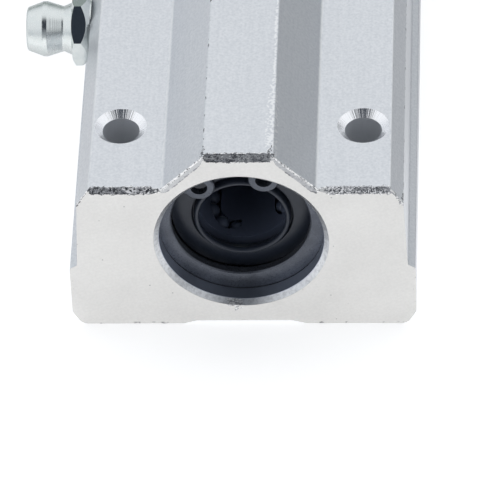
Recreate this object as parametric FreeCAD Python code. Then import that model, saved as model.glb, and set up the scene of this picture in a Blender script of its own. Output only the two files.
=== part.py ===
import FreeCAD
import Part
import math
import os

Vector = FreeCAD.Vector

# Linear bearing block: an extruded aluminium housing with two ball bearings in line on one round shaft.
# All sizes are in millimetres and degrees.
# The origin is on the shaft axis at mid-length, +Y runs along the shaft to the rear and +Z is up.

# Shaft and the two bearings
shaft_diameter = 10.0
ball_diameter = 2.0
bearing_diameter = 19.0
bearing_length = 29.0
bearing_edge_chamfer = 0.5
snap_groove_depth = 0.5
snap_groove_width = 1.3
snap_groove_span = 22.0

# Ball circuits in each bearing
circuit_count = 4
circuit_turn = 70.0
lane_gap = 4.3
return_lift = 0.65
raceway_width = 3.2
sleeve_relief = 0.75
cage_bore_gap = 0.3
cage_end_wall = 0.8

# End seals and the stop rings behind them
seal_seat_step = 0.5
seal_back = 2.3
seal_face = 1.3
seal_crest = 1.15
lip_front = 0.5
lip_width = 0.6
lip_edge = 0.15
lip_land = 0.4
seal_groove_width = 0.25
seal_groove_depth = 0.6
stop_ring_thickness = 0.75
stop_ring_width = 1.3
stop_ring_bite = 0.4
stop_ring_gap = 2.0

# Circlips at the two bore mouths
circlip_thickness = 1.0
circlip_groove_depth = 0.5
circlip_back_width = 2.8
circlip_tip_width = 1.1
circlip_turn = 8.5
circlip_edge_break = 0.15
lug_angle = 29.0
lug_inset = 2.2
lug_radius = 1.8
lug_hole_diameter = 1.95
lug_root_round = 0.5

# Housing section
block_width = 40.0
block_height = 26.0
wing_height = 21.0
bore_height = 13.0
foot_height = 8.75
ledge_width = 0.9
ledge_rise = 0.55
wall_lean = 0.4
corner_flat_width = 1.4
corner_flat_height = 2.3
foot_chamfer_width = 1.1
foot_chamfer_height = 1.9
ridge_top_width = 8.0
ridge_slope_run = 4.8
relief_flat_width = 11.0
relief_ramp_run = 1.65
relief_depth = 0.5
sharp_round = 0.3
foot_round = 1.2
valley_round = 0.8

# Housing bore and its ends
mouth_depth = 2.4
mouth_chamfer = 0.6
bore_rib_length = 3.2
bore_rib_height = 1.0
ridge_edge_cut = 0.68
wing_edge_cut = 0.55
slope_edge_cut = 0.08
wing_cut_runout = 1.4
corner_cut_runout = 0.35

# Screw holes
hole_spacing_across = 28.0
hole_spacing_along = 46.0
hole_diameter = 4.3
countersink_diameter = 6.0
countersink_angle = 100.0
thread_diameter = 5.0
thread_depth = 12.0
thread_lead_in = 0.35

# Grease nipple
nipple_rise = 3.05
nipple_thread_diameter = 5.0
nipple_thread_length = 5.5
nipple_spot_diameter = 7.4
nipple_spot_depth = 0.15
nipple_collar_diameter = 6.9
nipple_collar_height = 0.15
nipple_hex = 7.7
nipple_hex_height = 2.3
nipple_hex_chamfer = 0.35
nipple_hex_turn = 17.0
nipple_neck_diameter = 5.4
nipple_neck_height = 3.4
nipple_neck_flare = 0.5
nipple_head_diameter = 6.6
nipple_head_height = 5.55
nipple_head_land = 0.5
nipple_tip_diameter = 5.1
nipple_height = 7.75
nipple_neck_round = 0.35
nipple_head_round = 0.25
nipple_tip_round = 0.4
nipple_orifice_diameter = 1.8
nipple_orifice_length = 0.45
nipple_chamber_diameter = 2.9
nipple_crimp_length = 0.8
check_ball_diameter = 2.4
spring_diameter = 2.3
spring_wire = 0.3
spring_turns = 6.0
grease_passage_diameter = 2.5

# Clearances
sleeve_clearance = 0.02
ball_clearance = 0.015
lane_clearance = 0.06
cage_clearance = 0.1
seal_clearance = 0.05
ring_clearance = 0.05
circlip_clearance = 0.1
thread_clearance = 0.05
check_ball_gap = 0.04
spring_gap = 0.05
overcut = 1.0

# Sizes that follow from the ones above
shaft_radius = shaft_diameter / 2
ball_radius = ball_diameter / 2
track_radius = shaft_radius + ball_diameter
relief_radius = track_radius + sleeve_relief
sleeve_radius = bearing_diameter / 2
bore_radius = sleeve_radius + sleeve_clearance
snap_groove_radius = sleeve_radius - snap_groove_depth
seal_seat_radius = relief_radius + seal_seat_step
lip_radius = shaft_radius + lip_width
seal_crest_radius = lip_radius + seal_groove_width
circlip_groove_width = circlip_thickness + circlip_clearance
circlip_groove_radius = bore_radius + circlip_groove_depth
circlip_radius = circlip_groove_radius - ring_clearance
lug_circle_radius = circlip_radius - lug_inset
bearing_middle = bore_rib_length / 2 + bearing_length / 2
bearing_outer_end = bore_rib_length / 2 + bearing_length
half_length = bearing_outer_end + circlip_thickness + mouth_depth
half_width = block_width / 2
base_z = -bore_height
wing_z = wing_height - bore_height
ridge_z = block_height - bore_height
ledge_z = base_z + foot_height + ledge_rise
corner_z = wing_z - corner_flat_height
wall_foot_x = half_width - ledge_width
wall_top_x = wall_foot_x - wall_lean
wing_end_x = wall_top_x - corner_flat_width
ridge_foot_x = ridge_top_width / 2 + ridge_slope_run

along = Vector(0, 1, 0)
upward = Vector(0, 0, 1)
outward = Vector(-1, 0, 0)
centre = Vector(0, 0, 0)


def section_point(across, up):
    return Vector(across, 0, up)


def side_point(reach, radius):
    return Vector(reach, radius, 0)


def rounded_wire(corners, place):
    """Closed wire through (first, second, radius) corners, with a tangent arc where there is a radius."""
    points = [place(first, second) for first, second, radius in corners]
    stretches = []
    arcs = []
    for index, point in enumerate(points):
        to_last = (points[index - 1] - point).normalize()
        to_next = (points[(index + 1) % len(points)] - point).normalize()
        radius = corners[index][2]
        if radius == 0:
            stretches.append((point, point))
            arcs.append(None)
            continue
        half_angle = to_last.getAngle(to_next) / 2
        start = point + to_last * (radius / math.tan(half_angle))
        end = point + to_next * (radius / math.tan(half_angle))
        bisector = (to_last + to_next).normalize()
        middle = point + bisector * (radius / math.sin(half_angle) - radius)
        stretches.append((start, end))
        arcs.append(Part.Arc(start, middle, end).toShape())
    edges = []
    for index, arc in enumerate(arcs):
        if arc is not None:
            edges.append(arc)
        leave = stretches[index][1]
        arrive = stretches[(index + 1) % len(stretches)][0]
        edges.append(Part.LineSegment(leave, arrive).toShape())
    return Part.Wire(edges)


def turned(points, axis):
    """Solid of revolution about the Y or the Z axis from (radius, height) corners."""
    corners = [Vector(radius, 0, 0) + axis * height for radius, height in points]
    face = Part.Face(Part.makePolygon(corners + corners[:1]))
    return face.revolve(centre, axis, 360)


def ring(inner_radius, outer_radius, start, end):
    """Plain ring about the shaft axis from one place along it to another."""
    outline = [(inner_radius, start), (outer_radius, start), (outer_radius, end), (inner_radius, end)]
    return turned(outline, along)


def housing_section():
    """Extruded section: base with a shallow relief, stepped sides, two wings and the ridge over the bore."""
    relief_x = relief_flat_width / 2
    right = [
        (relief_x, base_z + relief_depth, valley_round),
        (relief_x + relief_ramp_run, base_z, valley_round),
        (half_width - foot_chamfer_width, base_z, foot_round),
        (half_width, base_z + foot_chamfer_height, foot_round),
        (half_width, base_z + foot_height, sharp_round),
        (wall_foot_x, ledge_z, sharp_round),
        (wall_top_x, corner_z, sharp_round),
        (wing_end_x, wing_z, sharp_round),
        (ridge_foot_x, wing_z, valley_round),
        (ridge_top_width / 2, ridge_z, sharp_round),
    ]
    left = [(-across, up, radius) for across, up, radius in reversed(right)]
    return Part.Face(rounded_wire(right + left, section_point))


def bore_cutter():
    """Bearing seats from both ends up to a middle rib, with circlip grooves and chamfered mouths."""
    groove_end = bearing_outer_end + circlip_groove_width
    mouth_radius = bore_radius + mouth_chamfer
    rear_half = [
        (bore_radius - bore_rib_height, 0),
        (bore_radius - bore_rib_height, bore_rib_length / 2),
        (bore_radius, bore_rib_length / 2),
        (bore_radius, bearing_outer_end),
        (circlip_groove_radius, bearing_outer_end),
        (circlip_groove_radius, groove_end),
        (bore_radius, groove_end),
        (bore_radius, half_length - mouth_chamfer),
        (mouth_radius + overcut, half_length + overcut),
        (0, half_length + overcut),
    ]
    front_half = [(radius, -place) for radius, place in reversed(rear_half[1:])]
    return turned(front_half + rear_half[1:], along)


def screw_hole_cutter():
    """Clearance hole with a countersink on the wing and a wider tapped length from the base."""
    hole_radius = hole_diameter / 2
    thread_radius = thread_diameter / 2
    countersink_radius = countersink_diameter / 2
    countersink_slope = math.tan(math.radians(countersink_angle / 2))
    countersink_depth = (countersink_radius - hole_radius) / countersink_slope
    thread_end = base_z + thread_depth
    return turned([
        (0, base_z - overcut),
        (thread_radius + thread_lead_in + overcut, base_z - overcut),
        (thread_radius, base_z + thread_lead_in),
        (thread_radius, thread_end),
        (hole_radius, thread_end + thread_radius - hole_radius),
        (hole_radius, wing_z - countersink_depth),
        (countersink_radius + overcut * countersink_slope, wing_z + overcut),
        (0, wing_z + overcut),
    ], upward)


def file_cutter(end):
    """Hand-filed bevel along the whole top outline at one end: wide on ridge and wings, narrow on slopes."""
    ridge_x = ridge_top_width / 2
    right = [
        (ridge_x - corner_cut_runout, ridge_z, ridge_edge_cut),
        (ridge_x, ridge_z, slope_edge_cut),
        (ridge_foot_x, wing_z, slope_edge_cut),
        (ridge_foot_x + wing_cut_runout, wing_z, wing_edge_cut),
        (wing_end_x - corner_cut_runout, wing_z, wing_edge_cut),
        (wing_end_x, wing_z, slope_edge_cut),
        (wall_top_x, corner_z, 0),
    ]
    left = [(-across, top, size) for across, top, size in reversed(right)]
    rows = []
    for across, top, size in left + right:
        rows.append([
            Vector(across, end * (half_length - size - overcut), top + overcut),
            Vector(across, end * (half_length + overcut), top - size - overcut),
            Vector(across, end * (half_length + overcut), top + overcut),
        ])
    outlines = [rows[0], rows[-1]]
    for near, far in zip(rows, rows[1:]):
        for corner in range(len(near)):
            outlines.append([near[corner - 1], near[corner], far[corner], far[corner - 1]])
    faces = [Part.Face(Part.makePolygon(outline + outline[:1])) for outline in outlines]
    return Part.Solid(Part.Shell(faces))


def nipple_seat_x():
    """Where the flat seat under the nipple's hexagon lies on the leaning left wall."""
    share = (nipple_rise - ledge_z) / (corner_z - ledge_z)
    return nipple_spot_depth - (wall_foot_x + (wall_top_x - wall_foot_x) * share)


def nipple_hole_cutter():
    """Spot face, tapped hole and grease passage into the rib between the bearings."""
    seat = Vector(nipple_seat_x(), 0, nipple_rise)
    spot = Part.makeCylinder(nipple_spot_diameter / 2, half_width, seat, outward)
    tapped_depth = nipple_thread_length + ring_clearance
    tapped = Part.makeCylinder(nipple_thread_diameter / 2, tapped_depth, seat, -outward)
    passage = Part.makeCylinder(grease_passage_diameter / 2, -seat.x, seat, -outward)
    return spot.fuse([tapped, passage])


def housing():
    length = 2 * half_length
    start = Vector(0, -half_length, 0)
    block = housing_section().extrude(along * length).translated(start)
    cutters = [bore_cutter(), nipple_hole_cutter()]
    hole = screw_hole_cutter()
    for side in (-1, 1):
        for end in (-1, 1):
            place = Vector(side * hole_spacing_across / 2, end * hole_spacing_along / 2, 0)
            cutters.append(hole.translated(place))
    cutters += [file_cutter(end) for end in (-1, 1)]
    return block.cut(cutters)


def lane_frame():
    """Middle of a ball circuit, directions across its two lanes and out of their plane, half their gap."""
    half_gap = lane_gap / 2
    loaded_radius = shaft_radius + ball_radius
    return_radius = loaded_radius + return_lift
    loaded = Vector(-half_gap, 0, math.sqrt(loaded_radius ** 2 - half_gap ** 2))
    returning = Vector(half_gap, 0, math.sqrt(return_radius ** 2 - half_gap ** 2))
    across = (returning - loaded).normalize()
    return (loaded + returning) * 0.5, across, across.cross(along), loaded.distanceToPoint(returning) / 2


def cage_length():
    return bearing_length - 2 * (seal_back + ring_clearance + stop_ring_thickness + cage_clearance)


def lane_length():
    """Straight length of a ball lane between its two half turns."""
    half_gap = lane_frame()[3]
    return cage_length() - 2 * (cage_end_wall + half_gap + ball_radius + lane_clearance)


def circuit_cutter():
    """Ball channel of one circuit: two straight lanes and two half turns, narrowed towards the shaft."""
    middle, across, out, half_gap = lane_frame()
    width = ball_radius + lane_clearance
    flat = width * math.tan(math.pi / 8)
    depth = sleeve_relief + ball_diameter
    right_half = [(flat, -width), (width, -flat), (width, depth)]
    outline = [(-place, height) for place, height in reversed(right_half)] + right_half
    pieces = []
    for end in (-1, 1):
        turn_centre = middle + along * (end * lane_length() / 2)
        lane = turn_centre + across * (end * half_gap)
        corners = [lane + across * place + out * height for place, height in outline]
        section = Part.Face(Part.makePolygon(corners + corners[:1]))
        pieces.append(section.extrude(along * (-end * lane_length())))
        pieces.append(section.revolve(turn_centre, out, 180))
    return pieces[0].fuse(pieces[1:]).removeSplitter()


def in_circuits(shape):
    """Copies of a shape for every ball circuit of a bearing."""
    step = 360 / circuit_count
    return [shape.rotated(centre, along, circuit_turn + step * number) for number in range(circuit_count)]


def ball_cage():
    """Moulded cage: four ball channels, each with a wider slot where a raceway of the sleeve dips in."""
    half = cage_length() / 2
    tube = ring(shaft_radius + cage_bore_gap, relief_radius - cage_clearance, -half, half)
    slot = raceway(raceway_width + 2 * cage_clearance, cage_clearance)
    return tube.cut(in_circuits(circuit_cutter()) + in_circuits(slot))


def faceted_ball(radius):
    """Ball drawn with twenty flat faces whose corners lie on the true sphere."""
    golden = (1 + math.sqrt(5)) / 2
    corners = []
    for first in (-1, 1):
        for second in (-golden, golden):
            corners += [Vector(0, first, second), Vector(first, second, 0), Vector(second, 0, first)]
    edge = 2
    faces = []
    for a in range(len(corners)):
        for b in range(a):
            for c in range(b):
                sides = [corners[a] - corners[b], corners[b] - corners[c], corners[c] - corners[a]]
                if all(abs(side.Length - edge) < edge / 10 for side in sides):
                    triangle = [corners[i] * (radius / corners[i].Length) for i in (a, b, c, a)]
                    faces.append(Part.Face(Part.makePolygon(triangle)))
    return Part.Solid(Part.Shell(faces))


def circuit_places():
    """Ball centres round one circuit, evenly spaced, clear of each other in the half turns too."""
    middle, across, out, half_gap = lane_frame()
    lane = lane_length()
    turn = math.pi * half_gap
    pitch = 2 * half_gap * math.asin(ball_radius / half_gap)
    count = int((2 * lane + 2 * turn) / pitch)
    places = []
    for number in range(count):
        gone = (2 * lane + 2 * turn) * number / count
        end = 1
        if gone >= lane + turn:
            gone -= lane + turn
            end = -1
        angle = max(0, gone - lane) / half_gap
        sideways = across * (-end * half_gap * math.cos(angle))
        forward = along * (end * (min(gone, lane) - lane / 2 + half_gap * math.sin(angle)))
        places.append(middle + sideways + forward)
    return places


def balls():
    ball = faceted_ball(ball_radius - ball_clearance)
    circuit = Part.makeCompound([ball.translated(place) for place in circuit_places()])
    solids = [solid for copy in in_circuits(circuit) for solid in copy.Solids]
    return Part.makeCompound(solids)


def raceway(width, room):
    """Raised track over the loaded lane of one circuit, grown by some room on its inside and its ends."""
    middle, across, out, half_gap = lane_frame()
    loaded = middle - across * half_gap
    half = lane_length() / 2 + room
    band = ring(track_radius - room, relief_radius + sleeve_relief / 2, -half, half)
    slab = Part.makeBox(width, bearing_length, bearing_diameter, Vector(-width / 2, -bearing_length / 2, 0))
    return band.common(slab).rotated(centre, along, math.degrees(math.atan2(loaded.x, loaded.z)))


def sleeve():
    """Hardened outer sleeve: snap grooves outside, raised raceways inside, and a seal seat at each end."""
    half = bearing_length / 2
    groove_outer = snap_groove_span / 2
    groove_inner = groove_outer - snap_groove_width
    ring_start = half - seal_back
    ring_end = ring_start - stop_ring_thickness - 2 * ring_clearance
    ring_groove_radius = seal_seat_radius + stop_ring_bite
    rear_half = [
        (sleeve_radius, groove_inner),
        (snap_groove_radius, groove_inner),
        (snap_groove_radius, groove_outer),
        (sleeve_radius, groove_outer),
        (sleeve_radius, half - bearing_edge_chamfer),
        (sleeve_radius - bearing_edge_chamfer, half),
        (seal_seat_radius, half),
        (seal_seat_radius, ring_start),
        (ring_groove_radius, ring_start),
        (ring_groove_radius, ring_end),
        (relief_radius, ring_end),
    ]
    front_half = [(radius, -place) for radius, place in reversed(rear_half)]
    body = turned(rear_half + front_half, along)
    return body.fuse(in_circuits(raceway(raceway_width, 0))).removeSplitter()


def end_seal():
    """Moulded rubber seal at the rear end of a bearing: outer band, groove and a thin lip on the shaft."""
    half = bearing_length / 2
    outer_radius = seal_seat_radius - seal_clearance
    lip_end = lip_front + lip_edge + lip_land
    groove_bottom = seal_crest + seal_groove_depth
    return turned([
        (outer_radius, half - seal_back),
        (outer_radius, half - seal_face - lip_edge),
        (outer_radius - lip_edge, half - seal_face),
        (seal_crest_radius + lip_edge, half - seal_crest),
        (seal_crest_radius, half - seal_crest - lip_edge),
        (seal_crest_radius, half - groove_bottom),
        (lip_radius, half - groove_bottom),
        (lip_radius, half - lip_front - lip_edge),
        (lip_radius - lip_edge, half - lip_front),
        (shaft_radius + lip_edge, half - lip_front),
        (shaft_radius, half - lip_front - lip_edge),
        (shaft_radius, half - lip_end),
        (lip_radius, half - seal_back),
    ], along)


def stop_ring():
    """Split steel ring in the sleeve behind the seal; it holds the ball cage."""
    outer_radius = seal_seat_radius + stop_ring_bite - ring_clearance
    end = bearing_length / 2 - seal_back - ring_clearance
    whole = ring(outer_radius - stop_ring_width, outer_radius, end - stop_ring_thickness, end)
    corner = Vector(-stop_ring_gap / 2, end - bearing_length / 2, 0)
    return whole.cut(Part.makeBox(stop_ring_gap, bearing_length, bearing_diameter, corner))


def circlip():
    """Internal circlip in the front mouth: wide at the back, slim at the tips, an eyed lug at each end."""
    front = -bearing_outer_end - circlip_thickness
    inner_radius = circlip_radius - (circlip_back_width + circlip_tip_width) / 2
    offset = (circlip_back_width - circlip_tip_width) / 2
    middle_angle = 90 + circlip_turn

    def disc(radius, distance, angle):
        across = distance * math.cos(math.radians(angle))
        up = distance * math.sin(math.radians(angle))
        return Part.makeCylinder(radius, circlip_thickness, Vector(across, front, up), along)

    body = disc(circlip_radius, 0, 0).cut(disc(inner_radius, offset, middle_angle))
    reach = 2 * circlip_radius
    tip_angles = [middle_angle - lug_angle, middle_angle + lug_angle]
    corners = [Vector(0, front, 0)]
    for angle in tip_angles:
        heading = math.radians(angle)
        corners.append(Vector(reach * math.cos(heading), front, reach * math.sin(heading)))
    wedge = Part.Face(Part.makePolygon(corners + corners[:1])).extrude(along * circlip_thickness)
    body = body.cut(wedge)
    body = body.fuse([disc(lug_radius, lug_circle_radius, angle) for angle in tip_angles]).removeSplitter()
    inner_corners = []
    for edge in body.Edges:
        crosses = edge.BoundBox.YLength > circlip_thickness / 2
        radius = math.hypot(edge.CenterOfMass.x, edge.CenterOfMass.z)
        if crosses and radius < circlip_radius - circlip_tip_width / 2:
            inner_corners.append(edge)
    body = body.makeFillet(lug_root_round, inner_corners)
    rims = [edge for edge in body.Edges if abs(edge.BoundBox.YMax - front) < ring_clearance]
    body = body.makeChamfer(circlip_edge_break, rims)
    return body.cut([disc(lug_hole_diameter / 2, lug_circle_radius, angle) for angle in tip_angles])


def nipple_place(shape):
    """Shape drawn along +X from the nipple's seat, turned to point out of the left wall."""
    return shape.rotated(centre, upward, 180).translated(Vector(nipple_seat_x(), 0, nipple_rise))


def grease_nipple():
    """Turned nipple with a hexagon, a waisted conical head and a stepped bore for its ball and spring."""
    axis = Vector(1, 0, 0)
    head = Part.Face(rounded_wire([
        (0, 0, 0),
        (nipple_hex_height, nipple_neck_diameter / 2 + nipple_neck_flare, 0),
        (nipple_neck_height, nipple_neck_diameter / 2, nipple_neck_round),
        (nipple_head_height - nipple_head_land / 2, nipple_head_diameter / 2, nipple_head_round),
        (nipple_head_height + nipple_head_land / 2, nipple_head_diameter / 2, nipple_head_round),
        (nipple_height, nipple_tip_diameter / 2, nipple_tip_round),
        (nipple_height, 0, 0),
    ], side_point)).revolve(centre, axis, 360)
    corner_radius = nipple_hex / 2 / math.cos(math.radians(30))
    corners = []
    for number in range(6):
        heading = math.radians(60 * number + nipple_hex_turn)
        corners.append(Vector(0, corner_radius * math.cos(heading), corner_radius * math.sin(heading)))
    hexagon = Part.Face(Part.makePolygon(corners + corners[:1])).extrude(axis * nipple_hex_height)
    rim = nipple_hex / 2
    collar_radius = nipple_collar_diameter / 2
    chamfered = Part.Face(rounded_wire([
        (0, 0, 0),
        (0, collar_radius, 0),
        (nipple_collar_height, collar_radius, 0),
        (nipple_collar_height + corner_radius - collar_radius, corner_radius, 0),
        (nipple_hex_height - nipple_hex_chamfer, corner_radius, 0),
        (nipple_hex_height, rim, 0),
        (nipple_hex_height, 0, 0),
    ], side_point)).revolve(centre, axis, 360)
    stem_radius = nipple_thread_diameter / 2 - thread_clearance
    stem = Part.makeCylinder(stem_radius, nipple_thread_length, centre, -axis)
    solid = head.fuse([hexagon.common(chamfered), stem])
    return nipple_place(solid.cut(nipple_bore_cutter()))


def nipple_bore_cutter():
    """Orifice, ball seat and spring chamber, left narrow at the crimped inner end."""
    orifice_radius = nipple_orifice_diameter / 2
    chamber_radius = nipple_chamber_diameter / 2
    seat_start = nipple_height - nipple_orifice_length
    seat_end = seat_start - (chamber_radius - orifice_radius)
    chamber_end = nipple_crimp_length - nipple_thread_length
    return Part.Face(rounded_wire([
        (nipple_height + overcut, 0, 0),
        (nipple_height + overcut, orifice_radius, 0),
        (seat_start, orifice_radius, 0),
        (seat_end, chamber_radius, 0),
        (chamber_end, chamber_radius, 0),
        (chamber_end, orifice_radius, 0),
        (-nipple_thread_length - overcut, orifice_radius, 0),
        (-nipple_thread_length - overcut, 0, 0),
    ], side_point)).revolve(centre, Vector(1, 0, 0), 360)


def check_ball_reach():
    """Centre of the check ball from the nipple's seat plane, with the ball just inside its conical seat."""
    radius = check_ball_diameter / 2
    seat_apex = nipple_height - nipple_orifice_length + nipple_orifice_diameter / 2
    return seat_apex - (radius + check_ball_gap) * math.sqrt(2)


def nipple_ball():
    return nipple_place(Part.makeSphere(check_ball_diameter / 2, Vector(check_ball_reach(), 0, 0)))


def nipple_spring():
    """Coil that pushes the check ball out on its seat and stands on the crimped end of the nipple."""
    coil_radius = (spring_diameter - spring_wire) / 2
    half_wire = spring_wire / 2
    ball_radius_here = check_ball_diameter / 2
    start = nipple_crimp_length - nipple_thread_length + half_wire + spring_gap
    ball_touch = math.sqrt((ball_radius_here + half_wire + spring_gap) ** 2 - coil_radius ** 2)
    length = check_ball_reach() - ball_touch - start
    helix = Part.makeHelix(length / spring_turns, length, coil_radius)
    corners = [
        Vector(coil_radius - half_wire, 0, 0),
        Vector(coil_radius, 0, -half_wire),
        Vector(coil_radius + half_wire, 0, 0),
        Vector(coil_radius, 0, half_wire),
    ]
    section = Part.makePolygon(corners + corners[:1])
    coil = Part.Wire(helix.Edges).makePipeShell([section], True, True)
    lying = coil.rotated(centre, Vector(0, 1, 0), 90).translated(Vector(start, 0, 0))
    return nipple_place(lying)


def save(shape, name):
    shape.exportStep("parts/" + name + ".step")


def save_bearing(name, middle, facing):
    """One bearing with its pieces; its outer end faces the nearer mouth of the block."""
    pieces = {
        "bearing_sleeve": sleeve(),
        "ball_cage": ball_cage(),
        "balls": balls(),
        "outer_seal": end_seal(),
        "inner_seal": end_seal().rotated(centre, upward, 180),
        "outer_stop_ring": stop_ring(),
        "inner_stop_ring": stop_ring().rotated(centre, upward, 180),
    }
    for piece, shape in pieces.items():
        placed = shape.rotated(centre, upward, facing).translated(Vector(0, middle, 0))
        save(placed, name + "_" + piece)


os.makedirs("parts", exist_ok=True)
save(housing(), "housing")
save_bearing("front", -bearing_middle, 180)
save_bearing("rear", bearing_middle, 0)
save(circlip(), "front_circlip")
save(circlip().rotated(centre, upward, 180), "rear_circlip")
save(grease_nipple(), "grease_nipple")
save(nipple_ball(), "nipple_ball")
save(nipple_spring(), "nipple_spring")
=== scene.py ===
import bpy
import math
from mathutils import Matrix, Vector


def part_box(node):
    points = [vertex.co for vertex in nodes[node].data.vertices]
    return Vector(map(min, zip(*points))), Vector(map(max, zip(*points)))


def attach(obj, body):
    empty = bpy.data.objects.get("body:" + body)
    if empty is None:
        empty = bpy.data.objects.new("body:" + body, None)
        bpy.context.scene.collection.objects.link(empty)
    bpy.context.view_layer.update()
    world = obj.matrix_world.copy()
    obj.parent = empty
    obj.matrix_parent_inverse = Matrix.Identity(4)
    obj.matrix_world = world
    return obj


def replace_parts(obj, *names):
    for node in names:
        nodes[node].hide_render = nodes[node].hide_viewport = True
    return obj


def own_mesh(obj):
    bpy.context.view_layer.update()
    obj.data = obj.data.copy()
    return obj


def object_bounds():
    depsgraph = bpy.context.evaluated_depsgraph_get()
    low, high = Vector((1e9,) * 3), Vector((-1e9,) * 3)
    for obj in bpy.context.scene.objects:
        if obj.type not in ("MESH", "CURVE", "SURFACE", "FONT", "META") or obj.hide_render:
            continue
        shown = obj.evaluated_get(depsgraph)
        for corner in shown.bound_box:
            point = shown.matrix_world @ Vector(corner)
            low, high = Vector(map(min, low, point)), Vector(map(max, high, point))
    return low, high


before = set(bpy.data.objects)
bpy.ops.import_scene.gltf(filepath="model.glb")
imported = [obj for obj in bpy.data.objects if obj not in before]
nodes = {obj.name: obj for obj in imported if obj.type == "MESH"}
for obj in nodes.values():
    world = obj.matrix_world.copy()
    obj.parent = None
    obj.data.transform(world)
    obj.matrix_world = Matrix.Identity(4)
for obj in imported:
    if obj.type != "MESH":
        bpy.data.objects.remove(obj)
cad_low, cad_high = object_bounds()
bpy.ops.object.select_all(action="DESELECT")

# Housing: one length of extruded aluminium alloy, sawn off at both ends and bored right through.
# The top edges of the ends are filed by hand, and four screw holes are countersunk on the wings.
mm = 0.001
block_low, block_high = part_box("housing")
block_side = block_high.x / mm
block_end = block_high.y / mm
block_foot = block_low.z / mm
ridge_z = block_high.z / mm
wing_z = 8.0
ridge_edge_x = 4.0
ridge_foot_x = 8.8
wing_edge_x = 17.3
wall_edge_x = 18.7
wall_edge_z = 5.7
hole_x = 14.0
hole_y = 23.0
sink_radius = 3.02
sink_depth = 0.72
chamfer_start = 9.56
mouth_radius = 10.3
ridge_cut = 0.68
wing_cut = 0.55
slope_cut = 0.08
slope_band = 0.75


def linear(code):
    """Linear colour of an sRGB hex value."""
    shares = [int(code[place:place + 2], 16) / 255 for place in (1, 3, 5)]
    return [s / 12.92 if s <= 0.04045 else ((s + 0.055) / 1.055) ** 2.4 for s in shares] + [1.0]


def node(tree, kind, settings, inputs):
    """A shader node with its settings, or with the name of its operation in their place.
    Each input takes a value, an output, or another node's first output."""
    made = tree.nodes.new("ShaderNode" + kind)
    if isinstance(settings, str):
        settings = {"operation": settings}
    for name, value in settings.items():
        setattr(made, name, value)
    for name, value in inputs.items():
        if isinstance(value, bpy.types.Node):
            value = value.outputs[0]
        if isinstance(value, bpy.types.NodeSocket):
            tree.links.new(value, made.inputs[name])
        else:
            made.inputs[name].default_value = value
    return made


def new_finish(name, metallic, roughness):
    """A new material with its surface shader, its node tree and the place on the piece in millimetres."""
    material = bpy.data.materials.new(name)
    material.use_nodes = True
    tree = material.node_tree
    surface = tree.nodes["Principled BSDF"]
    surface.inputs["Metallic"].default_value = metallic
    surface.inputs["Roughness"].default_value = roughness
    coords = node(tree, "TexCoord", {}, {})
    spot = node(tree, "VectorMath", "SCALE", {0: coords.outputs["Object"], "Scale": 1 / mm})
    return material, surface, tree, spot


def dress(surface, colour, rough=None, bump=None):
    """Links a finish's colour, roughness and bump to its surface shader."""
    for name, source in (("Base Color", colour), ("Roughness", rough), ("Normal", bump)):
        if source is not None:
            surface.id_data.links.new(source.outputs[0], surface.inputs[name])


# Mill-finish aluminium: satin grey with a fine grain, whiter and matt where it was sawn, smeared and speckled
# where it was filed, fluted where it was countersunk, scuffed and nicked on its edges. It carries painted
# dark reflection on the filed bevels and torn borders, painted light and shade on the bevels under the
# slopes, and painted edge highlights.
skin_light = linear("#E0E2E5")
skin_dull = linear("#D1D4D8")
sawn_light = linear("#E6E5E3")
sawn_dull = linear("#DCDBD9")
filed_light = linear("#DADBDD")
filed_grey_and_painted_dark = linear("#808185")
bored_colour = linear("#BAC0CC")
chamfer_light = linear("#DCDEE1")
chamfer_dull = linear("#C2C4C7")
sink_colour = linear("#F4F5F7")
drilled_colour = linear("#F0F2F5")
scuff_and_highlight_pale = linear("#EBECED")
nick_and_shade_dark = linear("#6E7074")
nick_and_shade_light = linear("#A2A3A7")
torn_pale = linear("#F2F2F1")
bevel_painted_light = linear("#C4C5C7")
bevel_painted_shade = linear("#9C9DA2")
aluminium, surface, tree, spot = new_finish("extruded_aluminium_mill_finish", 1.0, 0.4)
coords = node(tree, "TexCoord", {}, {})
facing = node(tree, "SeparateXYZ", {}, {0: coords.outputs["Normal"]})
place = node(tree, "SeparateXYZ", {}, {0: spot})
along = node(tree, "Math", "ABSOLUTE", {0: place.outputs["Y"]})
across = node(tree, "Math", "ABSOLUTE", {0: place.outputs["X"]})
# Where each tool has been
end_skin = 0.03
bevel_lean = 0.25
bevel_reach = 0.9
sawn = node(tree, "Math", "GREATER_THAN", {0: along, 1: block_end - end_skin})
lean = node(tree, "Math", "ABSOLUTE", {0: facing.outputs["Y"]})
leaning = node(tree, "Math", "MULTIPLY", {0: lean, 1: facing.outputs["Z"]})
tilted = node(tree, "Math", "GREATER_THAN", {0: leaning, 1: bevel_lean})
near_end = node(tree, "Math", "GREATER_THAN", {0: along, 1: block_end - bevel_reach})
off_axis = node(tree, "CombineXYZ", {}, {"X": place.outputs["X"], "Z": place.outputs["Z"]})
radius = node(tree, "VectorMath", "LENGTH", {0: off_axis}).outputs["Value"]
in_bore = node(tree, "Math", "LESS_THAN", {0: radius, 1: mouth_radius})
out_of_bore = node(tree, "Math", "SUBTRACT", {0: 1.0, 1: in_bore})
filed_top = node(tree, "Math", "MULTIPLY", {0: tilted, 1: near_end})
filed = node(tree, "Math", "MULTIPLY", {0: filed_top, 1: out_of_bore})
not_sawn = node(tree, "Math", "SUBTRACT", {0: 1.0, 1: sawn})
bored = node(tree, "Math", "MULTIPLY", {0: in_bore, 1: not_sawn})
plan = node(tree, "CombineXYZ", {}, {"X": across, "Y": along})
hole_way = node(tree, "VectorMath", "DISTANCE", {0: plan, 1: (hole_x, hole_y, 0)})
drilled = node(tree, "Math", "LESS_THAN", {0: hole_way.outputs["Value"], 1: sink_radius})
below_sink = node(tree, "Math", "LESS_THAN", {0: place.outputs["Z"], 1: wing_z - sink_depth})
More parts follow.
